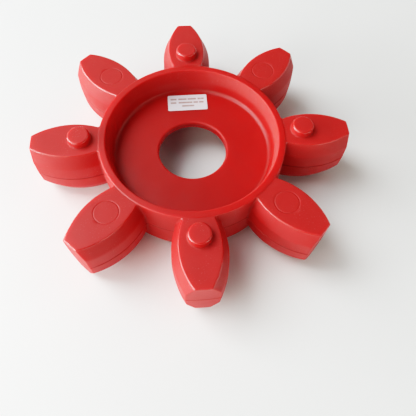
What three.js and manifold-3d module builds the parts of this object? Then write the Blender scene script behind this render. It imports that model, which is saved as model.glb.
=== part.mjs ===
// Elastomer star of a jaw coupling: one polyurethane moulding with eight crowned teeth round a
// cup-shaped ring, and the paper label stuck inside its upper cup. Millimetres, +Z along the
// coupling's axis, origin where that axis crosses the mould's parting plane.
import * as THREE from 'three';
import { mergeVertices } from 'three/addons/utils/BufferGeometryUtils.js';
import Module from 'manifold-3d';

const wasm = await Module();
wasm.setup();

// ---- Driving dimensions ------------------------------------------------------------------
const TOOTH_COUNT = 8;
const OUTSIDE_DIAMETER = 160;          // over the tooth tips, at the parting plane
const TOOTH_THICKNESS = 30;            // across the flat end faces of a tooth
const TIP_DRAFT = 0.5;                 // how far a tip leans in from the parting plane to its end face

const TOOTH_WIDTH_AT_FACE = 19.4;      // widest, at the end face
const TOOTH_WIDTH_AT_CREASE = 26.0;    // widest, where the slanted flank turns upright
const TOOTH_WIDTH_AT_PARTING = 27.0;   // widest, at the parting plane
const WIDEST_AT_RADIUS = 59.8;         // distance from the axis to a tooth's widest place
const FLANK_CROWN_RADIUS = 35.5;       // the crowned flank, seen along the axis, at the end face
const CREASE_DEPTH = 6.5;              // from the end face down to the crease
const CREASE_SOFTNESS = 0.9;           // half the height over which the crease turns
const EDGE_ROUND = 0.6;                // rounded edges of the end faces
const ROOT_FILLET = 1.0;               // where a flank runs into the ring

const RING_OUTER_RADIUS = 46.8;        // at the end faces
const RING_DRAFT = 0.5;                // the ring's wall grows by this much to the parting plane
const RIM_INNER_RADIUS = 43.3;
const RIM_STANDS_PROUD = 0.25;         // the rim over the tooth's end face
const RIM_EDGE_ROUND = 0.5;
const CUP_DEPTH = 12.75;               // tooth's end face to the web
const CUP_WALL_DRAFT = 2.05;           // the cup narrows by this much to its floor fillet
const CUP_FLOOR_FILLET = 2.0;
const SHAFT_HOLE_RADIUS = 17.8;
const SHAFT_HOLE_EDGE_ROUND = 0.9;

const PARTING_GROOVE_WIDTH = 0.8;
const PARTING_GROOVE_DEPTH = 0.3;

const PIP_RADIUS = 5.7;                // spacer pip, at its foot
const PIP_DRAFT = 0.25;
const PIP_HEIGHT = 3.75;
const PIP_EDGE_ROUND = 0.7;
const PIP_AT_RADIUS = 55.7;
const PLUG_MARK_RADIUS = 6.0;          // witness of the plugged pip pocket on the other teeth
const PLUG_MARK_DEPTH = 0.3;
const PLUG_MARK_AT_RADIUS = 58.4;

const LABEL_WIDTH = 22;
const LABEL_HEIGHT = 11;
const LABEL_THICKNESS = 0.12;
const LABEL_CORNER = 0.8;
const LABEL_CENTRE = new THREE.Vector2(-0.9, 31.9);
const LABEL_TURN = THREE.MathUtils.degToRad(0.5);
const LABEL_ADHESIVE = 0.05;           // clear layer between the paper and the web

const RING_SEGMENTS = 72;
const HOLE_SEGMENTS = 40;
const PIP_SEGMENTS = 18;
const TIP_STEPS = 2;
const FLANK_STEPS = 8;
const ROOT_STEPS = 2;
const WALL_STEPS = 2;

// ---- Worked out from them ----------------------------------------------------------------
const HALF_THICKNESS = TOOTH_THICKNESS / 2;
const PITCH = (2 * Math.PI) / TOOTH_COUNT;
const FACE_TO_CREASE = (TOOTH_WIDTH_AT_CREASE - TOOTH_WIDTH_AT_FACE) / 2;
const FACE_TO_PARTING = (TOOTH_WIDTH_AT_PARTING - TOOTH_WIDTH_AT_FACE) / 2;
const FLANK_CENTRE = new THREE.Vector2(WIDEST_AT_RADIUS, TOOTH_WIDTH_AT_FACE / 2 - FLANK_CROWN_RADIUS);
const AXIS = new THREE.Vector2(0, 0);
const WEB_HALF_THICKNESS = HALF_THICKNESS - CUP_DEPTH;
const RIM_HEIGHT = HALF_THICKNESS + RIM_STANDS_PROUD;

// ---- Solids and booleans -----------------------------------------------------------------
function toSolid(geometry) {
  const bare = geometry.clone();
  bare.deleteAttribute('normal');
  bare.deleteAttribute('uv');
  const merged = mergeVertices(bare, 1e-4);
  const corners = [];
  for (let i = 0; i < merged.index.count; i += 3) {
    const [a, b, c] = [0, 1, 2].map((k) => merged.index.getX(i + k));
    if (a !== b && b !== c && c !== a) corners.push(a, b, c);
  }
  return new wasm.Manifold(new wasm.Mesh({
    numProp: 3,
    vertProperties: new Float32Array(merged.attributes.position.array),
    triVerts: new Uint32Array(corners),
  }));
}

function toGeometry(solid) {
  const mesh = solid.getMesh();
  const geometry = new THREE.BufferGeometry();
  geometry.setAttribute('position', new THREE.BufferAttribute(mesh.vertProperties, 3));
  geometry.setIndex(new THREE.BufferAttribute(mesh.triVerts, 1));
  geometry.computeVertexNormals();
  return geometry;
}

// A profile of [radius, height] points turned about the Z axis. It runs up the outside.
function revolve(profile, segments) {
  const points = profile.map(([radius, height]) => new THREE.Vector2(radius, height));
  return toSolid(new THREE.LatheGeometry(points, segments).rotateX(Math.PI / 2));
}

// Outlines with equal numbers of points, lowest first, skinned into one closed solid.
function loft(sections) {
  const count = sections[0].outline.length;
  const positions = sections.flatMap(({ z, outline }) => outline.flatMap((p) => [p.x, p.y, z]));
  const faces = [];
  for (let level = 0; level + 1 < sections.length; level += 1) {
    for (let i = 0; i < count; i += 1) {
      const a = level * count + i;
      const b = level * count + ((i + 1) % count);
      faces.push(a, b, b + count, a, b + count, a + count);
    }
  }
  const top = (sections.length - 1) * count;
  for (const [a, b, c] of THREE.ShapeUtils.triangulateShape(sections[0].outline, [])) faces.push(a, c, b);
  for (const [a, b, c] of THREE.ShapeUtils.triangulateShape(sections.at(-1).outline, [])) {
    faces.push(top + a, top + b, top + c);
  }
  const geometry = new THREE.BufferGeometry();
  geometry.setAttribute('position', new THREE.Float32BufferAttribute(positions, 3));
  geometry.setIndex(faces);
  return toSolid(geometry);
}

// ---- Plan geometry -----------------------------------------------------------------------
// Where two circles meet, on the left of the line from the first centre to the second.
function circlesMeet(centreA, radiusA, centreB, radiusB) {
  const between = centreB.clone().sub(centreA);
  const distance = between.length();
  const along = (radiusA ** 2 - radiusB ** 2 + distance ** 2) / (2 * distance);
  const aside = Math.sqrt(radiusA ** 2 - along ** 2);
  const unit = between.divideScalar(distance);
  const left = new THREE.Vector2(-unit.y, unit.x);
  return centreA.clone().addScaledVector(unit, along).addScaledVector(left, aside);
}

// Points on an arc after its first, up to and including its last, the short way round.
function arc(centre, from, to, steps) {
  const start = from.clone().sub(centre);
  const end = to.clone().sub(centre);
  const sweep = Math.atan2(start.cross(end), start.dot(end));
  return Array.from({ length: steps }, (_, i) => (
    from.clone().rotateAround(centre, (sweep * (i + 1)) / steps)
  ));
}

// Half of one tooth and of the gap after it, from the middle of the tip to the middle of the gap.
function halfPitchOutline({ flank, tip, wall }) {
  const tipMiddle = new THREE.Vector2(tip, 0);
  const tipCorner = circlesMeet(AXIS, tip, FLANK_CENTRE, flank);
  const rootCentre = circlesMeet(AXIS, wall + ROOT_FILLET, FLANK_CENTRE, flank + ROOT_FILLET);
  const onFlank = FLANK_CENTRE.clone().lerp(rootCentre, flank / (flank + ROOT_FILLET));
  const onWall = rootCentre.clone().multiplyScalar(wall / (wall + ROOT_FILLET));
  const gapMiddle = new THREE.Vector2(wall, 0).rotateAround(AXIS, PITCH / 2);
  return [
    tipMiddle,
    ...arc(AXIS, tipMiddle, tipCorner, TIP_STEPS),
    ...arc(FLANK_CENTRE, tipCorner, onFlank, FLANK_STEPS),
    ...arc(rootCentre, onFlank, onWall, ROOT_STEPS),
    ...arc(AXIS, onWall, gapMiddle, WALL_STEPS),
  ];
}

function starOutline(radii) {
  const half = halfPitchOutline(radii);
  const mirrored = half.slice(1).reverse().map((p) => new THREE.Vector2(p.x, -p.y));
  const pitch = [...mirrored, ...half.slice(0, -1)];
  return Array.from({ length: TOOTH_COUNT }, (_, k) => (
    pitch.map((p) => p.clone().rotateAround(AXIS, k * PITCH))
  )).flat();
}

// ---- The moulding ------------------------------------------------------------------------
// Radii of flank, tip and ring wall at one height over the parting plane.
function mouldRadii(height) {
  const rise = height / HALF_THICKNESS;
  const creaseHeight = HALF_THICKNESS - CREASE_DEPTH;
  const upright = FACE_TO_PARTING - ((FACE_TO_PARTING - FACE_TO_CREASE) * height) / creaseHeight;
  const slanted = (FACE_TO_CREASE * (HALF_THICKNESS - height)) / CREASE_DEPTH;
  return {
    flank: FLANK_CROWN_RADIUS + Math.min(upright, slanted),
    tip: OUTSIDE_DIAMETER / 2 - TIP_DRAFT * rise,
    wall: RING_OUTER_RADIUS + RING_DRAFT * (1 - rise),
  };
}

function inset(radii, depth) {
  return { flank: radii.flank - depth, tip: radii.tip - depth, wall: radii.wall - depth };
}

function starBody() {
  const creaseHeight = HALF_THICKNESS - CREASE_DEPTH;
  const upperHalf = [
    { z: 0, radii: inset(mouldRadii(0), PARTING_GROOVE_DEPTH) },
    { z: PARTING_GROOVE_WIDTH / 2, radii: mouldRadii(PARTING_GROOVE_WIDTH / 2) },
    { z: creaseHeight - CREASE_SOFTNESS, radii: mouldRadii(creaseHeight - CREASE_SOFTNESS) },
    { z: creaseHeight + CREASE_SOFTNESS, radii: mouldRadii(creaseHeight + CREASE_SOFTNESS) },
    { z: HALF_THICKNESS - EDGE_ROUND, radii: mouldRadii(HALF_THICKNESS - EDGE_ROUND) },
    { z: HALF_THICKNESS, radii: inset(mouldRadii(HALF_THICKNESS), EDGE_ROUND / 2) },
  ];
  const lowerHalf = upperHalf.slice(1).reverse().map(({ z, radii }) => ({ z: -z, radii }));
  const levels = [...lowerHalf, ...upperHalf];
  return loft(levels.map(({ z, radii }) => ({ z, outline: starOutline(radii) })));
}

// The rim that stands a little over the tooth faces, above the level where it is buried.
function rim() {
  const buriedAt = HALF_THICKNESS - 1;
  const edge = RIM_STANDS_PROUD;
  return revolve([
    [RIM_INNER_RADIUS - 1, buriedAt],
    [RING_OUTER_RADIUS - RIM_EDGE_ROUND, buriedAt],
    [RING_OUTER_RADIUS - RIM_EDGE_ROUND, HALF_THICKNESS],
    [RING_OUTER_RADIUS - RIM_EDGE_ROUND - edge, RIM_HEIGHT],
    [RIM_INNER_RADIUS - 1, RIM_HEIGHT],
    [RIM_INNER_RADIUS - 1, buriedAt],
  ], RING_SEGMENTS);
}

// What the mould's core leaves empty over the web: a drafted wall and a wide fillet to the floor.
function cupCore() {
  const floor = WEB_HALF_THICKNESS;
  const wallFoot = RIM_INNER_RADIUS - CUP_WALL_DRAFT;
  const lean = Math.atan2(CUP_WALL_DRAFT, RIM_HEIGHT - floor - CUP_FLOOR_FILLET);
  const profile = [[0, floor]];
  const filletSteps = 4;
  for (let i = 0; i <= filletSteps; i += 1) {
    const angle = ((Math.PI / 2 - lean) * i) / filletSteps;
    const radius = wallFoot - CUP_FLOOR_FILLET + CUP_FLOOR_FILLET * Math.sin(angle);
    profile.push([radius, floor + CUP_FLOOR_FILLET * (1 - Math.cos(angle))]);
  }
  profile.push([RIM_INNER_RADIUS, RIM_HEIGHT - RIM_EDGE_ROUND]);
  profile.push([RIM_INNER_RADIUS + RIM_EDGE_ROUND / 2, RIM_HEIGHT]);
  profile.push([RIM_INNER_RADIUS + RIM_EDGE_ROUND / 2, RIM_HEIGHT + 1]);
  profile.push([0, RIM_HEIGHT + 1]);
  return revolve(profile, RING_SEGMENTS);
}

function shaftHole() {
  const half = WEB_HALF_THICKNESS;
  const round = SHAFT_HOLE_EDGE_ROUND;
  const wide = SHAFT_HOLE_RADIUS + round;
  const upper = [
    [SHAFT_HOLE_RADIUS, half - round],
    [SHAFT_HOLE_RADIUS + round * (1 - Math.SQRT1_2), half - round * (1 - Math.SQRT1_2)],
    [wide, half],
    [wide, half + 1],
    [0, half + 1],
  ];
  const lower = upper.map(([radius, height]) => [radius, -height]).reverse();
  return revolve([...lower, ...upper], HOLE_SEGMENTS);
}

function spacerPip() {
  const top = PIP_RADIUS - PIP_DRAFT;
  const round = PIP_EDGE_ROUND;
  const end = HALF_THICKNESS + PIP_HEIGHT;
  return revolve([
    [0, HALF_THICKNESS - 1],
    [PIP_RADIUS, HALF_THICKNESS - 1],
    [PIP_RADIUS, HALF_THICKNESS],
    [top, end - round],
    [top - round * (1 - Math.SQRT1_2), end - round * (1 - Math.SQRT1_2)],
    [top - round, end],
    [0, end],
  ], PIP_SEGMENTS).translate([PIP_AT_RADIUS, 0, 0]);
}

function plugMark() {
  const floor = HALF_THICKNESS - PLUG_MARK_DEPTH;
  return revolve([
    [0, floor],
    [PLUG_MARK_RADIUS - PLUG_MARK_DEPTH, floor],
    [PLUG_MARK_RADIUS, HALF_THICKNESS],
    [PLUG_MARK_RADIUS, HALF_THICKNESS + 1],
    [0, HALF_THICKNESS + 1],
  ], PIP_SEGMENTS).translate([PLUG_MARK_AT_RADIUS, 0, 0]);
}

const toothAngle = (k) => (360 * k) / TOOTH_COUNT;
const turned = (solid, k) => solid.rotate([0, 0, toothAngle(k)]);
const flipped = (solid) => solid.rotate([180, 0, 0]);

// Even teeth carry a pip on their upper face and a plug mark below; odd teeth the other way up.
function moulding() {
  let body = starBody().add(rim()).add(flipped(rim()));
  body = body.subtract(cupCore()).subtract(flipped(cupCore())).subtract(shaftHole());
  for (let k = 0; k < TOOTH_COUNT; k += 1) {
    const pipUp = k % 2 === 0;
    const pip = pipUp ? spacerPip() : flipped(spacerPip());
    const mark = pipUp ? flipped(plugMark()) : plugMark();
    body = body.add(turned(pip, k)).subtract(turned(mark, k));
  }
  return toGeometry(body);
}

// ---- The label ---------------------------------------------------------------------------
function labelPaper() {
  const x = LABEL_WIDTH / 2;
  const y = LABEL_HEIGHT / 2;
  const r = LABEL_CORNER;
  const shape = new THREE.Shape();
  shape.absarc(x - r, y - r, r, 0, Math.PI / 2);
  shape.absarc(r - x, y - r, r, Math.PI / 2, Math.PI);
  shape.absarc(r - x, r - y, r, Math.PI, Math.PI * 1.5);
  shape.absarc(x - r, r - y, r, Math.PI * 1.5, Math.PI * 2);
  return new THREE.ExtrudeGeometry(shape, {
    depth: LABEL_THICKNESS,
    bevelEnabled: false,
    curveSegments: 4,
  });
}

// ---- Assembly ----------------------------------------------------------------------------
const spiderElement = new THREE.Mesh(
  moulding(),
  new THREE.MeshStandardMaterial({ color: '#c3201f', roughness: 0.42, metalness: 0 }),
);
spiderElement.name = 'spider_element';

const label = new THREE.Mesh(
  labelPaper(),
  new THREE.MeshStandardMaterial({ color: '#e6dadd', roughness: 0.7, metalness: 0 }),
);
label.name = 'adhesive_label';
label.position.set(LABEL_CENTRE.x, LABEL_CENTRE.y, WEB_HALF_THICKNESS + LABEL_ADHESIVE);
label.rotation.z = LABEL_TURN;

const coupling = new THREE.Group();
coupling.add(spiderElement, label);

export default coupling;
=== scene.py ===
"""Looks of a jaw coupling's elastomer star: a red polyurethane moulding with its paper label.

The moulding is skinned from plan outlines and turned profiles, both worked out from a few sizes
in millimetres. Points in plan are complex numbers, x + iy, so that turning one is a product.
"""

import cmath
import math

import bmesh
import bpy
from mathutils import Matrix, Vector


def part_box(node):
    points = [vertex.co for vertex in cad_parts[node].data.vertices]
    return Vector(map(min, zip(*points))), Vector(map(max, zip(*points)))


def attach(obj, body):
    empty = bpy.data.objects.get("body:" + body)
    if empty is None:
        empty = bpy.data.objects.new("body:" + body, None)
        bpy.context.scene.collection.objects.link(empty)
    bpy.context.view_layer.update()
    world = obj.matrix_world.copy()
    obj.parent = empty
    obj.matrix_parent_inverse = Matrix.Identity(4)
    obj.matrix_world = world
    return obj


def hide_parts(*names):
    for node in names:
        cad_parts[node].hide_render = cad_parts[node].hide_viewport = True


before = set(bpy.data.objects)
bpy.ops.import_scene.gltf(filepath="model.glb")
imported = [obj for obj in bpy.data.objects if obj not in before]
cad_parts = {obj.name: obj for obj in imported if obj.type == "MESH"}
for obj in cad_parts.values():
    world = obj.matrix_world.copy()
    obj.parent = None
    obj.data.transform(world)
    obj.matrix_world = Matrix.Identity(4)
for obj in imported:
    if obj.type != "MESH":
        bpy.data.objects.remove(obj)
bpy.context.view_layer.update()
spider_low, spider_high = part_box("spider_element")
label_low, label_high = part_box("adhesive_label")

MM = 0.001

# ---- Sizes of the moulding, mm -----------------------------------------------------------
TOOTH_COUNT = 8
TIP_RADIUS = (spider_high.x - spider_low.x) / 2 / MM
PAD_HEIGHT = spider_high.z / MM            # spacer pips reach this far from the parting plane
PIP_HEIGHT = 3.75
FACE_HEIGHT = PAD_HEIGHT - PIP_HEIGHT      # end faces of the teeth
TIP_DRAFT = 0.15

WIDEST_AT_RADIUS = 59.8
HALF_WIDTH_AT_FACE = 9.7
CROWN_RADIUS = 35.5                        # flank in plan, at the end face
FACE_TO_CREASE = 3.4                       # how far the slanted flank spreads down to the crease
FACE_TO_PARTING = 3.8
CREASE_DEPTH = 7.1
CREASE_BLEND = 0.35
EDGE_ROUND = 0.7
TIP_CORNER_ROUND = 0.8
ROOT_FILLET = 1.0

RING_RADIUS = 46.8
RING_DRAFT = 0.5
RIM_PROUD = 0.25                           # rim over the teeth's end faces
RIM_ROUND = 0.5
RIM_INNER_RADIUS = 43.3
CUP_DEPTH = 12.75
CUP_WALL_DRAFT = 2.05
CUP_FILLET = 2.2
HOLE_RADIUS = 17.8
HOLE_ROUND = 0.9

GROOVE_HALF_WIDTH = 0.45                   # parting line
GROOVE_DEPTH = 0.6

PIP_AT_RADIUS = 55.7
PIP_RADIUS = 5.7
PIP_DRAFT = 0.25
PIP_ROUND = 1.0
PIP_FOOT_FILLET = 0.35
MARK_AT_RADIUS = 58.4
MARK_RADIUS = 6.05
MARK_GROOVE_WIDTH = 0.4
MARK_GROOVE_DEPTH = 0.1
MARK_DISC_DEPTH = 0.03
MARK_LIP = 0.05                            # broken edge of the mark's groove

# ---- Worked out from them ----------------------------------------------------------------
PITCH = 2 * math.pi / TOOTH_COUNT
FLANK_CENTRE = complex(WIDEST_AT_RADIUS, HALF_WIDTH_AT_FACE - CROWN_RADIUS)
CREASE_HEIGHT = FACE_HEIGHT - CREASE_DEPTH
RIM_HEIGHT = FACE_HEIGHT + RIM_PROUD
WEB_HEIGHT = FACE_HEIGHT - CUP_DEPTH
CUP_FOOT_RADIUS = RIM_INNER_RADIUS - CUP_WALL_DRAFT

# ---- How finely curves are stepped -------------------------------------------------------
TIP_STEPS = 5
CORNER_STEPS = 4
FLANK_STEPS = 18
ROOT_STEPS = 5
GAP_STEPS = 6
ACROSS_STEPS = 8                           # along the ring, from a tooth's middle to its root
CREASE_STEP = 0.3                          # mm between the sections at the crease
FLAT_RINGS = (0.93, 0.5)                   # rings that keep the end of a pip or mark flat
MERGE_WITHIN = 0.0005                      # mm
FLAT_FACE_WEIGHT = 50


# ---- Skinning ----------------------------------------------------------------------------
class Skin:
    """Faces between rows of points, with the points where rows meet shared at the end."""

    def __init__(self):
        self.mesh = bmesh.new()

    def row(self, plan, height):
        return self.points([(p.real, p.imag, height) for p in plan])

    def points(self, places):
        return [self.mesh.verts.new((x * MM, y * MM, z * MM)) for x, y, z in places]

    def strip(self, row_a, row_b, closed=True):
        count = len(row_a)
        for i in range(count if closed else count - 1):
            j = (i + 1) % count
            self.mesh.faces.new((row_a[i], row_a[j], row_b[j], row_b[i]))

    def strips(self, rows, closed=True):
        for row_a, row_b in zip(rows, rows[1:]):
            self.strip(row_a, row_b, closed)

    def fan(self, row, centre, height):
        middle = self.row([centre], height)[0]
        for i, corner in enumerate(row):
            self.mesh.faces.new((corner, row[(i + 1) % len(row)], middle))

    def to_piece(self, name, finish):
        bmesh.ops.remove_doubles(self.mesh, verts=self.mesh.verts, dist=MERGE_WITHIN * MM)
        bmesh.ops.recalc_face_normals(self.mesh, faces=self.mesh.faces)
        data = bpy.data.meshes.new(name)
        self.mesh.to_mesh(data)
        self.mesh.free()
        data.shade_smooth()
        data.materials.append(finish)
        return put(name, data)


def put(name, data):
    """An object of its own for a mesh, light or camera, in the scene."""
    made = bpy.data.objects.new(name, data)
    bpy.context.scene.collection.objects.link(made)
    return made


def weigh_normals(piece):
    """Lets the flat faces keep their own shading beside narrow rounded edges."""
    weighted = piece.modifiers.new("flat_faces", "WEIGHTED_NORMAL")
    weighted.mode = "FACE_AREA"
    weighted.weight = FLAT_FACE_WEIGHT
    weighted.keep_sharp = False


# ---- Plan geometry -----------------------------------------------------------------------
def circles_meet(centre_a, radius_a, centre_b, radius_b):
    """Where two circles meet, on the left of the line from the first centre to the second."""
    between = centre_b - centre_a
    distance = abs(between)
    along = (radius_a**2 - radius_b**2 + distance**2) / (2 * distance)
    aside = math.sqrt(radius_a**2 - along**2)
    return centre_a + between / distance * complex(along, aside)


def arc(centre, start, end, steps):
    """Points after start, up to end, the short way round the centre."""
    sweep = cmath.phase((end - centre) / (start - centre))
    return [centre + (start - centre) * cmath.rect(1, sweep * i / steps) for i in range(1, steps + 1)]


def half_pitch(flank, tip, wall, corner):
    """From the middle of a tooth's tip to the middle of the gap beside it, as two stretches:
    the tooth up to where its root fillet meets the ring, and the ring's wall after that."""
    tip_middle = complex(tip, 0)
    corner_centre = circles_meet(0, tip - corner, FLANK_CENTRE, flank - corner)
    on_tip = corner_centre * tip / (tip - corner)
    flank_start = FLANK_CENTRE + (corner_centre - FLANK_CENTRE) * flank / (flank - corner)
    root_centre = circles_meet(0, wall + ROOT_FILLET, FLANK_CENTRE, flank + ROOT_FILLET)
    flank_end = FLANK_CENTRE + (root_centre - FLANK_CENTRE) * flank / (flank + ROOT_FILLET)
    on_wall = root_centre * wall / (wall + ROOT_FILLET)
    gap_middle = cmath.rect(wall, PITCH / 2)
    tooth = [tip_middle]
    tooth += arc(0, tip_middle, on_tip, TIP_STEPS)
    tooth += arc(corner_centre, on_tip, flank_start, CORNER_STEPS)
    tooth += arc(FLANK_CENTRE, flank_start, flank_end, FLANK_STEPS)
    tooth += arc(root_centre, flank_end, on_wall, ROOT_STEPS)
    return tooth, arc(0, on_wall, gap_middle, GAP_STEPS)


def mirrored(points):
    return [p.conjugate() for p in reversed(points)]


def all_round(pitch):
    """The points of one pitch repeated round the axis."""
    return [p * cmath.rect(1, k * PITCH) for k in range(TOOTH_COUNT) for p in pitch]


# ---- Heights -----------------------------------------------------------------------------
def soft_min(a, b, blend):
    near = max(blend - abs(a - b), 0) / blend
    return min(a, b) - near * near * blend / 4


def rounded_edge(height, edge, top, rise_per_inset, radius):
    """Distance of a wall that leans in and ends in a rounded edge under a flat top. edge is where
    the unrounded wall would meet the top, and rise_per_inset its lean."""
    lean = math.atan(rise_per_inset)
    arc_height = top - radius
    if height <= arc_height + radius * math.sin(lean):
        return edge + (top - height) * rise_per_inset
    arc_centre = edge + radius * math.tan(lean) - radius / math.cos(lean)
    return arc_centre + math.sqrt(max(radius**2 - (height - arc_height) ** 2, 0))


def section(height):
    """Flank, tip, wall and corner radii of the moulding at a height over the parting plane."""
    upright_lean = (FACE_TO_PARTING - FACE_TO_CREASE) / CREASE_HEIGHT
    slant_lean = FACE_TO_CREASE / CREASE_DEPTH
    upright = CROWN_RADIUS + FACE_TO_PARTING - upright_lean * height
    slanted = rounded_edge(height, CROWN_RADIUS, FACE_HEIGHT, slant_lean, EDGE_ROUND)
    tip_lean = TIP_DRAFT / FACE_HEIGHT
    tip = rounded_edge(height, TIP_RADIUS - TIP_DRAFT, FACE_HEIGHT, tip_lean, EDGE_ROUND)
    wall_lean = RING_DRAFT / RIM_HEIGHT
    wall = rounded_edge(height, RING_RADIUS, RIM_HEIGHT, wall_lean, RIM_ROUND)
    groove = 0
    if height < GROOVE_HALF_WIDTH:
        groove = GROOVE_DEPTH * (1 + math.cos(math.pi * height / GROOVE_HALF_WIDTH)) / 2
    return {
        "flank": soft_min(upright, slanted, CREASE_BLEND) - groove,
        "tip": tip - groove,
        "wall": wall - groove,
        "corner": TIP_CORNER_ROUND,
    }


def section_heights():
    """Heights of the upper half's sections: close together at the groove, crease and edge."""
    groove = [GROOVE_HALF_WIDTH * share for share in (0, 0.25, 0.5, 0.75, 1, 1.5)]
    upright = [CREASE_HEIGHT * share for share in (0.3, 0.55, 0.72)]
    crease = [CREASE_HEIGHT + step * CREASE_STEP for step in range(-3, 4)]
    slanted = [CREASE_HEIGHT + CREASE_DEPTH * share for share in (0.5, 0.7, 0.85)]
    start = FACE_HEIGHT - EDGE_ROUND
    edge = [start + EDGE_ROUND * math.sin(math.radians(angle)) for angle in range(0, 91, 15)]
    return groove + upright + crease + slanted + edge


def profile_arc(centre, radius, from_angle, to_angle, steps):
    """Points of a turned profile, as (distance from the axis, height), along an arc in degrees."""
    angles = [math.radians(from_angle + (to_angle - from_angle) * i / steps) for i in range(steps + 1)]
    return [(centre[0] + radius * math.cos(a), centre[1] + radius * math.sin(a)) for a in angles]


# ---- The moulding ------------------------------------------------------------------------
def star_sides(skin):
    """The teeth's tips and flanks and the ring's outer wall, from face to face."""
    heights = section_heights()
    rows = []
    for height in [-h for h in reversed(heights[1:])] + heights:
        tooth, gap = half_pitch(**section(abs(height)))
        pitch = mirrored(tooth[1:] + gap) + (tooth + gap)[:-1]
        rows.append(skin.row(all_round(pitch), height))
    skin.strips(rows)


def root_of_face():
    """Where a tooth's end face runs out between its root fillet and the ring: the fillet's points,
    and as many points of the ring, which meets it at the last one."""
    tooth, _ = half_pitch(**section(FACE_HEIGHT))
    fillet = tooth[-1 - ROOT_STEPS :]
    first = cmath.phase(fillet[0])
    sweep = cmath.phase(fillet[-1]) - first
    ring = [cmath.rect(abs(fillet[-1]), first + sweep * i / ROOT_STEPS) for i in range(ROOT_STEPS + 1)]
    return fillet, ring


def ring_directions():
    """Directions of the columns that the ring is turned on: they meet the outline at the face."""
    _, gap = half_pitch(**section(FACE_HEIGHT))
    _, ring = root_of_face()
    steps = range(1 - ACROSS_STEPS, ACROSS_STEPS)
    across_tooth = [cmath.rect(1, cmath.phase(ring[0]) * i / ACROSS_STEPS) for i in steps]
    beside_tooth = [p / abs(p) for p in ring + gap]
    return all_round(mirrored(beside_tooth) + across_tooth + beside_tooth[:-1])


def cup_profile():
    """Half the ring's and web's section, from the rim's outer edge to the hole's parting line."""
    rim_centre = (section(FACE_HEIGHT)["wall"], RIM_HEIGHT - RIM_ROUND)
    start = math.degrees(math.asin((FACE_HEIGHT - rim_centre[1]) / RIM_ROUND))
    rim_centre = (rim_centre[0] - RIM_ROUND * math.cos(math.radians(start)), rim_centre[1])
    inner_centre = (RIM_INNER_RADIUS + RIM_ROUND, RIM_HEIGHT - RIM_ROUND)
    fillet_centre = (CUP_FOOT_RADIUS - CUP_FILLET, WEB_HEIGHT + CUP_FILLET)
    lean = math.degrees(math.atan2(CUP_WALL_DRAFT, RIM_HEIGHT - fillet_centre[1]))
    hole_centre = (HOLE_RADIUS + HOLE_ROUND, WEB_HEIGHT - HOLE_ROUND)
    outer = profile_arc(rim_centre, RIM_ROUND, start, 90, steps=4)
    inner = profile_arc(inner_centre, RIM_ROUND, 90, 180 - lean, steps=5)
    fillet = profile_arc(fillet_centre, CUP_FILLET, -lean, -90, steps=10)
    hole_edge = profile_arc(hole_centre, HOLE_ROUND, 90, 180, steps=6)
    wall_steps = [between(inner[-1], fillet[0], share) for share in (0.04, 0.35, 0.65, 0.96)]
    floor_steps = [between(fillet[-1], hole_edge[0], share) for share in (0.03, 0.35, 0.65, 0.97)]
    flat_steps = [between(outer[-1], inner[0], share) for share in (0.15, 0.85)]
    profile = outer + flat_steps + inner + wall_steps + fillet + floor_steps + hole_edge
    return profile + [(HOLE_RADIUS, 0)]


def between(a, b, share):
    return tuple(x + (y - x) * share for x, y in zip(a, b))


def ring_and_web(skin):
    directions = ring_directions()
    upper = cup_profile()
    lower = [(radius, -height) for radius, height in reversed(upper[:-1])]
    skin.strips([skin.row([u * radius for u in directions], height) for radius, height in upper + lower])


def face_outline():
    """The end face of the tooth on +X: round the tooth to its root, then back along the ring."""
    tooth, _ = half_pitch(**section(FACE_HEIGHT))
    _, ring = root_of_face()
    reach, turn = cmath.polar(ring[0])
    steps = range(ACROSS_STEPS, -1 - ACROSS_STEPS, -1)
    along_ring = [cmath.rect(reach, turn * i / ACROSS_STEPS) for i in steps]
    round_tooth = tooth[: -ROOT_STEPS]
    return mirrored(round_tooth[1:]) + round_tooth + along_ring


def pip_profile():
    """A spacer pip from its foot on the end face to its flat end."""
    foot_centre = (PIP_RADIUS + PIP_FOOT_FILLET, FACE_HEIGHT + PIP_FOOT_FILLET)
    end_centre = (PIP_RADIUS - PIP_DRAFT - PIP_ROUND, PAD_HEIGHT - PIP_ROUND)
    foot = profile_arc(foot_centre, PIP_FOOT_FILLET, -90, -180, steps=4)
    end = profile_arc(end_centre, PIP_ROUND, 0, 90, steps=7)
    side = [between(foot[-1], end[0], share) for share in (0.1, 0.9)]
    return foot + side + end + [(end[-1][0] * share, PAD_HEIGHT) for share in FLAT_RINGS]


def mark_profile():
    """The witness of a plugged pip pocket: a fine round groove and the plug's sunk face."""
    outer = MARK_RADIUS
    inner = MARK_RADIUS - MARK_GROOVE_WIDTH
    floor = FACE_HEIGHT - MARK_GROOVE_DEPTH
    disc = FACE_HEIGHT - MARK_DISC_DEPTH
    lip = MARK_LIP
    groove = [
        (outer + lip, FACE_HEIGHT),
        (outer + lip / 2, FACE_HEIGHT - lip / 4),
        (outer, FACE_HEIGHT - lip),
        (outer - lip, floor + lip / 2),
        (outer - 2 * lip, floor),
        (inner + lip, floor),
        (inner, floor + lip / 2),
        (inner - lip, disc),
    ]
    return groove + [(inner * share, disc) for share in FLAT_RINGS]


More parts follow.
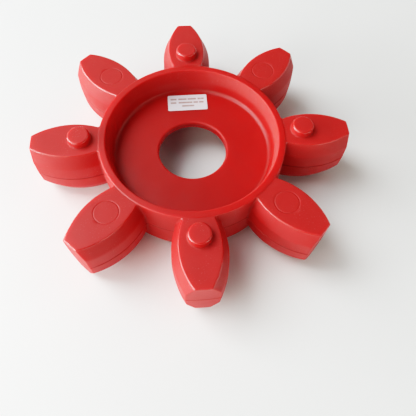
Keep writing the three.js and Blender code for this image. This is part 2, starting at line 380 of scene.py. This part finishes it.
def tooth_face(skin, tooth, upper, centre, profile):
    """One end face of a tooth, from its outline to a pip or mark in its middle."""
    side = 1 if upper else -1
    turn = cmath.rect(1, tooth * PITCH)
    outline = face_outline()
    foot_radius = profile[0][0]
    spokes = [(p - centre) / abs(p - centre) for p in outline]
    rows = []
    for share in (0, 0.1, 0.5, 0.9):
        flat = [p + (centre + u * foot_radius - p) * share for p, u in zip(outline, spokes)]
        rows.append(skin.row([p * turn for p in flat], side * FACE_HEIGHT))
    for radius, height in profile:
        rows.append(skin.row([(centre + u * radius) * turn for u in spokes], side * height))
    skin.strips(rows)
    skin.fan(rows[-1], centre * turn, side * profile[-1][1])
    for hand in (list, mirrored):
        edges = [skin.row([p * turn for p in hand(edge)], side * FACE_HEIGHT) for edge in root_of_face()]
        skin.strips(edges, closed=False)


def build_spider(finish):
    skin = Skin()
    star_sides(skin)
    ring_and_web(skin)
    for tooth in range(TOOTH_COUNT):
        for upper in (True, False):
            if upper == (tooth % 2 == 0):
                tooth_face(skin, tooth, upper, PIP_AT_RADIUS, pip_profile())
            else:
                tooth_face(skin, tooth, upper, MARK_AT_RADIUS, mark_profile())
    spider = skin.to_piece("spider_moulding", finish)
    weigh_normals(spider)
    return spider


# ---- The label ---------------------------------------------------------------------------
LABEL_MIDDLE = complex(label_low.x + label_high.x, label_low.y + label_high.y) / 2 / MM
LABEL_TURN = math.radians(0.5)
LABEL_WIDTH = 22.0
LABEL_HEIGHT = 11.0
LABEL_CORNER = 0.8
LABEL_PAPER = 0.12
LABEL_EDGE = 0.03
LABEL_CURL = 0.12
LABEL_LIFT = 0.02                          # adhesive between paper and web


def label_outline(inset):
    """Rounded rectangle about the label's own middle."""
    corner = LABEL_CORNER - inset
    centre = complex(LABEL_WIDTH / 2 - LABEL_CORNER, LABEL_HEIGHT / 2 - LABEL_CORNER)
    first = [centre + cmath.rect(corner, math.radians(angle)) for angle in range(0, 91, 15)]
    upper = first + [complex(-p.real, p.imag) for p in reversed(first)]
    return upper + [-p for p in upper]


def label_height(p):
    """The paper lies flat, and its corners have let go a little."""
    towards_corner = abs(p.real) / (LABEL_WIDTH / 2) * abs(p.imag) / (LABEL_HEIGHT / 2)
    return WEB_HEIGHT + LABEL_LIFT + LABEL_CURL * towards_corner**4


def build_label(finish):
    """A sheet of paper, skinned from the middle of its underside over its edge to its top."""
    skin = Skin()
    inwards = (1, 0.97, 0.9, 0.75, 0.5, 0.2)
    underside = [(0, share, 0) for share in reversed(inwards)]
    top = [(LABEL_EDGE, share, LABEL_PAPER) for share in inwards]
    rows = []
    for inset, share, rise in underside + [(0, 1, LABEL_PAPER - LABEL_EDGE)] + top:
        plan = [p * share for p in label_outline(inset)]
        placed = [p * cmath.rect(1, LABEL_TURN) + LABEL_MIDDLE for p in plan]
        places = [(q.real, q.imag, label_height(p) + rise) for p, q in zip(plan, placed)]
        rows.append(skin.points(places))
    skin.strips(rows)
    for row in (rows[0], rows[-1]):
        skin.mesh.faces.new(row)
    return skin.to_piece("paper_label", finish)


# ---- Finishes ----------------------------------------------------------------------------
class Value:
    """What a socket gives, so that shader maths reads as arithmetic."""

    def __init__(self, finish, socket):
        self.finish = finish
        self.socket = socket

    def math(self, operation, *others):
        inputs = dict(enumerate((self, *others)))
        return self.finish.node("ShaderNodeMath", {"operation": operation}, inputs)

    def __add__(self, other):
        return self.math("ADD", other)

    __radd__ = __add__

    def __mul__(self, other):
        return self.math("MULTIPLY", other)

    __rmul__ = __mul__

    def __sub__(self, other):
        return self.math("SUBTRACT", other)

    def __rsub__(self, other):
        return self.finish.node("ShaderNodeMath", {"operation": "SUBTRACT"}, {0: other, 1: self})

    def __truediv__(self, other):
        return self.math("DIVIDE", other)

    def __rtruediv__(self, other):
        return self.finish.node("ShaderNodeMath", {"operation": "DIVIDE"}, {0: other, 1: self})

    def size(self):
        return self.math("ABSOLUTE")

    def ramp(self, none_at, full_at):
        """From 0 where the value is none_at to 1 where it is full_at, eased at both ends."""
        inputs = {0: self, 1: none_at, 2: full_at}
        return self.finish.node("ShaderNodeMapRange", {"interpolation_type": "SMOOTHSTEP"}, inputs)


class Finish:
    """One material's nodes. Every node but its shader and output comes from node()."""

    def __init__(self, name):
        self.material = bpy.data.materials.new(name)
        self.material.use_nodes = True
        self.tree = self.material.node_tree
        self.shader = self.tree.nodes["Principled BSDF"]

    def node(self, kind, settings=None, inputs=None, output=0):
        made = self.tree.nodes.new(kind)
        for key, value in (settings or {}).items():
            setattr(made, key, value)
        for key, value in (inputs or {}).items():
            self.feed(made.inputs[key], value)
        return Value(self, made.outputs[output])

    def feed(self, socket, value):
        if isinstance(value, Value):
            self.tree.links.new(value.socket, socket)
        else:
            socket.default_value = value

    def surface(self, **inputs):
        for key, value in inputs.items():
            self.feed(self.shader.inputs[key.replace("_", " ")], value)

    def place(self):
        return self.node("ShaderNodeTexCoord", output="Object")

    def along(self, place, axis):
        return self.node("ShaderNodeSeparateXYZ", None, {0: place}, axis)

    def from_axis(self, place):
        flat = self.node("ShaderNodeVectorMath", {"operation": "MULTIPLY"}, {0: place, 1: (1, 1, 0)})
        return self.node("ShaderNodeVectorMath", {"operation": "LENGTH"}, {0: flat}, "Value")

    def noise(self, place, size, detail=2.0, roughness=0.5, stretch=(1, 1, 1)):
        """Noise whose features are about size millimetres across."""
        per_axis = tuple(share / (size * MM) for share in stretch)
        scaled = self.node("ShaderNodeVectorMath", {"operation": "MULTIPLY"}, {0: place, 1: per_axis})
        inputs = {"Vector": scaled, "Scale": 1.0, "Detail": detail, "Roughness": roughness}
        return self.node("ShaderNodeTexNoise", {"noise_dimensions": "3D"}, inputs, "Fac")

    def mix(self, share, colour_a, colour_b):
        inputs = {0: share, 6: colour_a, 7: colour_b}
        return self.node("ShaderNodeMix", {"data_type": "RGBA"}, inputs, 2)

    def bump(self, height, depth, under=None):
        """A relief whose height runs from 0 to 1 over a depth in millimetres."""
        inputs = {"Height": height, "Distance": depth * MM, "Strength": 1.0}
        if under is not None:
            inputs["Normal"] = under
        return self.node("ShaderNodeBump", None, inputs)


RED = (0.455, 0.0064, 0.0045, 1)
RED_BRIGHT = (0.51, 0.009, 0.0065, 1)
RED_DULL = (0.40, 0.007, 0.005, 1)
# painted shade: the darker red of the parting line's groove
PAINTED_GROOVE_SHADE_RED = (0.22, 0.004, 0.003, 1)
# pink of the dust specks, and of the painted sheen on the cup's wall
DUST_AND_SHEEN_PINK = (0.62, 0.22, 0.20, 1)
POLISH = 0.36                              # roughness where the mould is polished
POLISH_BELOW = (0.1, 0.17)                 # mm under a flat top, where its round gets rubbed
BLOOM_FROM = WEB_HEIGHT + 4.5              # bloom on the cup's wall, going up
BLOOM_FULL = WEB_HEIGHT + 7.5
PAINTED_SHEEN_FULL = 28                          # mm along +X from the axis, where the painted sheen on the cup's wall is full
SKIN_DEPTH = 0.008                         # m that light travels under the skin, times its radius


def rounded_off(height, top, radius):
    """1 on the rounded edge below a flat top, and 0 on the flat and further down."""
    none_at, full_at = POLISH_BELOW
    above_wall = height.ramp(top - radius, top - radius * 0.6)
    return above_wall * height.ramp(top - none_at, top - full_at)


def red_polyurethane():
    """Cast polyurethane: clouded deep red, polished by the mould on the web and the rim's top, and
    left with a fine bloom on the teeth and the upper part of the cup's wall. The wall shows drag
    lines, and its upper part has a painted sheen, paler towards +X where the window light falls.
    The parting line's groove has painted shade, a darker red. Edges of teeth and pips are rubbed shiny."""
    finish = Finish("red_polyurethane")
    place = finish.place()
    radius = finish.from_axis(place) / MM
    height = finish.along(place, "Z").size() / MM
    side = finish.along(place, "X") / MM
    clouds = finish.noise(place, size=26, detail=3.0)
    mottle = finish.noise(place, size=5, detail=3.0, roughness=0.6)
    grain = finish.noise(place, size=0.5)
    waves = finish.noise(place, size=14, detail=1.0)
    drag = finish.noise(place, size=1.1, stretch=(1, 1, 0.04))
    specks = finish.noise(place, size=0.6, detail=1.0).ramp(0.64, 0.74)
    dusty_patches = finish.noise(place, size=11).ramp(0.4, 0.65)

    in_cup = radius.ramp(RIM_INNER_RADIUS + 0.3, RIM_INNER_RADIUS)
    cup_wall = in_cup * height.ramp(BLOOM_FROM, BLOOM_FULL)
    drag_lines = drag * cup_wall
    # painted sheen: the upper cup wall made paler towards +X, where the window light falls, streaked
    # along the drag lines
    painted_sheen = (cup_wall + drag_lines) * side.ramp(0, PAINTED_SHEEN_FULL)
    polished_web = in_cup - cup_wall
    across_rim = radius.ramp(RIM_INNER_RADIUS + 0.1, RIM_INNER_RADIUS + 0.7)
    across_rim = across_rim * radius.ramp(RING_RADIUS + 0.1, RING_RADIUS - 0.2)
    polished_rim = across_rim * height.ramp(RIM_HEIGHT - 0.6, RIM_HEIGHT - 0.1)
    bloom = 1 - polished_web.math("MAXIMUM", polished_rim)
    hole_edge = radius.ramp(HOLE_RADIUS + 1.4, HOLE_RADIUS + 0.7)
    on_teeth = radius.ramp(RING_RADIUS, RING_RADIUS + 0.4)
    edges = rounded_off(height, FACE_HEIGHT, EDGE_ROUND) + rounded_off(height, PAD_HEIGHT, PIP_ROUND)
    rubbed = on_teeth * edges
    # painted shade: the parting line's groove darkened in colour
    painted_groove_shade = height.ramp(GROOVE_HALF_WIDTH * 1.15, GROOVE_HALF_WIDTH * 0.5)

    cast = finish.mix(clouds, RED, RED_BRIGHT)
    mottled = finish.mix(mottle * 0.35, cast, RED_DULL)
    dusty = finish.mix(specks * dusty_patches * bloom * 0.26, mottled, DUST_AND_SHEEN_PINK)
    # painted sheen: pale pink over the upper cup wall on the +X side
    with_painted_sheen = finish.mix(painted_sheen * 0.1, dusty, DUST_AND_SHEEN_PINK)
    satin = POLISH + bloom * 0.2 + mottle * 0.1 + grain * 0.05
    scraped = (cup_wall + drag_lines) * 0.1 + hole_edge * 0.16
    waviness = finish.bump(waves, depth=0.25)
    finish.surface(
        Base_Color=finish.mix(painted_groove_shade * 0.7, with_painted_sheen, PAINTED_GROOVE_SHADE_RED),
        Roughness=satin + scraped - rubbed * 0.46,
        Normal=finish.bump(grain + mottle * 2 + drag_lines * 3, depth=0.012, under=waviness),
        Specular_IOR_Level=0.56,
        Coat_Weight=0.12 + rubbed * 0.88,
        Coat_Roughness=0.24,
        Subsurface_Weight=0.85,
        Subsurface_Radius=(1.0, 0.07, 0.04),
        Subsurface_Scale=SKIN_DEPTH,
    )
    return finish.material


PRINT_ROWS = (
    # height of the row over the label's middle, then where each bar starts and ends, mm
    (2.6, ((-9.4, -6.1), (-5.1, -0.4), (0.2, 4.9), (5.8, 9.3))),
    (0.1, ((-9.4, -6.3), (-5.0, 2.7), (3.3, 5.9), (6.5, 9.0))),
    (-2.3, ((-3.2, 3.6),)),
)
PRINT_HALF_HEIGHT = 0.55
PRINT_BLUR = 0.3
PAPER = (0.74, 0.71, 0.77, 1)
PAPER_GREYED = (0.70, 0.68, 0.71, 1)
INK = (0.40, 0.27, 0.25, 1)


def printed(x, y):
    """1 on the label's rows of plain printed bars, which stand for text, and 0 beside them."""
    ink = 0
    for row, bars in PRINT_ROWS:
        on_row = (y - row).size().ramp(PRINT_HALF_HEIGHT + PRINT_BLUR, PRINT_HALF_HEIGHT - PRINT_BLUR)
        for start, end in bars:
            half = (end - start) / 2
            from_middle = (x - (start + half)).size()
            ink = ink + on_row * from_middle.ramp(half + PRINT_BLUR, half - PRINT_BLUR)
    return ink


def label_paper():
    """Coated white paper, a little greyed in places, with faint rows of printed bars."""
    finish = Finish("label_paper")
    place = finish.place()
    middle = (LABEL_MIDDLE.real * MM, LABEL_MIDDLE.imag * MM, 0)
    settled = {"Vector": place, "Location": middle, "Rotation": (0, 0, LABEL_TURN)}
    on_label = finish.node("ShaderNodeMapping", {"vector_type": "TEXTURE"}, settled)
    fibres = finish.noise(place, size=0.35, detail=3.0)
    stain = finish.noise(place, size=7)
    thin_ink = finish.noise(place, size=1.6, stretch=(1, 0.3, 1)).ramp(-0.1, 0.52)
    ink = printed(finish.along(on_label, "X") / MM, finish.along(on_label, "Y") / MM)
    finish.surface(
        Base_Color=finish.mix(ink * thin_ink, finish.mix(stain, PAPER, PAPER_GREYED), INK),
        Roughness=0.5 + fibres * 0.2,
        Normal=finish.bump(fibres, depth=0.01),
    )
    return finish.material


TABLE_WHITE = (0.88, 0.88, 0.875, 1)
BACKDROP_WHITE = (0.98, 0.99, 1.0, 1)
BACKDROP_GLOW = 0.48
BLACK = (0, 0, 0, 1)


def pale_table():
    finish = Finish("pale_table")
    finish.surface(Base_Color=TABLE_WHITE, Roughness=0.5)
    return finish.material


def pale_backdrop():
    finish = Finish("pale_backdrop")
    finish.surface(Base_Color=BLACK, Emission_Color=BACKDROP_WHITE, Emission_Strength=BACKDROP_GLOW)
    return finish.material


# ---- Stage, lights and camera ------------------------------------------------------------
TABLE_REACH = 6.0                          # m
TABLE_SIDES = 8
TABLE_GAP = 0.02                           # mm under the lower pips, so that no faces coincide
BACKDROP_RADIUS = 1.5                      # m
BACKDROP_HEIGHT = 2.5                      # m
BACKDROP_SIDES = 64


def polygon(radius, sides):
    return [cmath.rect(radius, math.tau * k / sides) for k in range(sides)]


def stage_piece(name, places, faces, finish):
    data = bpy.data.meshes.new(name)
    data.from_pydata(places, [], faces)
    data.materials.append(finish)
    return put(name, data)


def build_table():
    top = spider_low.z - TABLE_GAP * MM
    corners = [(p.real, p.imag, top) for p in polygon(TABLE_REACH, TABLE_SIDES)]
    table = stage_piece("table", corners, [range(TABLE_SIDES)], pale_table())


def build_backdrop():
    """A round wall past the lights, there to be seen behind the table and to light nothing."""
    count = BACKDROP_SIDES
    plan = polygon(BACKDROP_RADIUS, count)
    places = [(p.real, p.imag, z) for z in (-BACKDROP_HEIGHT, BACKDROP_HEIGHT) for p in plan]
    sides = [(k, (k + 1) % count, count + (k + 1) % count, count + k) for k in range(count)]
    backdrop = stage_piece("backdrop", places, sides, pale_backdrop())
    backdrop.visible_diffuse = False
    backdrop.visible_glossy = False
    backdrop.visible_shadow = False


def soft_light(name, place, width, height, watts, colour):
    """A soft box at a place, shining at the middle of the moulding."""
    light = bpy.data.lights.new(name, "AREA")
    light.shape = "RECTANGLE"
    light.size = width
    light.size_y = height
    light.energy = watts
    light.color = colour
    lamp = put(name, light)
    lamp.location = place
    lamp.rotation_euler = (-place).to_track_quat("-Z", "Y").to_euler()


WINDOW_LIGHT = (0.96, 1.0, 1.01)
WALL_LIGHT = (1.0, 0.96, 0.85)
SOFT_BOXES = (
    # name, azimuth and elevation it shines from, distance m, width and height m, power W, colour
    ("window_sill", 175, 3, 1.76, 1.4, 0.2, 4.5, WINDOW_LIGHT),
    ("window_sill_near", 205, 4, 1.6, 0.8, 0.2, 2.0, WINDOW_LIGHT),
    ("window_low", 175, 12, 1.64, 1.3, 0.3, 10.9, WINDOW_LIGHT),
    ("window_low_near", 220, 9, 1.58, 0.8, 0.45, 2.8, WINDOW_LIGHT),
    ("window_middle", 200, 16, 1.6, 0.7, 0.3, 7.1, WINDOW_LIGHT),
    ("window_top", 157, 49, 1.58, 0.9, 0.9, 12.3, WINDOW_LIGHT),
    ("ceiling_left", 185, 66, 1.6, 0.6, 0.6, 2.8, WINDOW_LIGHT),
    ("wall_left_front", 230, 35, 1.6, 0.8, 0.6, 3.5, WALL_LIGHT),
    ("wall_front", 265, 12, 1.6, 1.2, 0.5, 1.0, WALL_LIGHT),
    ("wall_right_front", 315, 12, 1.6, 1.2, 0.5, 2.8, WALL_LIGHT),
    ("wall_right", 10, 12, 1.6, 1.2, 0.5, 0.7, WALL_LIGHT),
    ("wall_right_high", 10, 40, 1.6, 0.9, 0.7, 1.4, WALL_LIGHT),
    ("wall_back", 100, 12, 1.6, 1.2, 0.5, 2.0, WALL_LIGHT),
    ("wall_back_high", 100, 40, 1.6, 0.9, 0.7, 0.5, WALL_LIGHT),
)
ROOM_LIGHT = 0.035
FILM_SHOULDER = 4                          # how early the whites start to roll off
FILM_CONTRAST = 5 / 3
FILM_POINTS = (0.012, 0.03, 0.06, 0.11, 0.18, 0.28, 0.42, 0.6, 0.8)


def light_studio():
    for name, azimuth, elevation, distance, width, height, watts, colour in SOFT_BOXES:
        flat = cmath.rect(distance * math.cos(math.radians(elevation)), math.radians(azimuth))
        up = distance * math.sin(math.radians(elevation))
        soft_light(name, Vector((flat.real, flat.imag, up)), width, height, watts, colour)
    world = bpy.data.worlds.new("room")
    bpy.context.scene.world = world
    world.use_nodes = True
    room = world.node_tree.nodes["Background"]
    room.inputs["Color"].default_value = (1.0, 1.0, 1.0, 1)
    room.inputs["Strength"].default_value = ROOM_LIGHT


def film_response(light):
    """Bright studio exposure: darks stay deep and whites roll off gently below paper white."""
    return ((1 + FILM_SHOULDER) * light / (1 + FILM_SHOULDER * light)) ** FILM_CONTRAST


def expose():
    view = bpy.context.scene.view_settings
    view.view_transform = "Standard"
    view.use_curve_mapping = True
    combined = view.curve_mapping.curves[3]
    for light in FILM_POINTS:
        combined.points.new(light, film_response(light))
    view.curve_mapping.update()


CAMERA_PLACE = Vector((-5.96, -129.07, 182.97)) * MM
CAMERA_TARGET = Vector((5.61, -34.25, 0.0)) * MM
CAMERA_ROLL = math.radians(2.9)
CAMERA_SENSOR = 36                         # mm
CAMERA_LENS = 36.07                        # mm


def place_camera():
    lens = bpy.data.cameras.new("camera")
    lens.sensor_width = CAMERA_SENSOR
    lens.lens = CAMERA_LENS
    lens.clip_start = 0.01
    lens.clip_end = 20
    camera = put("camera", lens)
    aim = (CAMERA_TARGET - CAMERA_PLACE).to_track_quat("-Z", "Y").to_matrix().to_4x4()
    roll = Matrix.Rotation(CAMERA_ROLL, 4, "Z")
    camera.matrix_world = Matrix.Translation(CAMERA_PLACE) @ aim @ roll
    bpy.context.scene.camera = camera


# ---- Assembly ----------------------------------------------------------------------------
place_camera()
light_studio()
expose()
build_table()
build_backdrop()

spider = build_spider(red_polyurethane())
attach(spider, "root")
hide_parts("spider_element")

label = build_label(label_paper())
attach(label, "root")
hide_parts("adhesive_label")
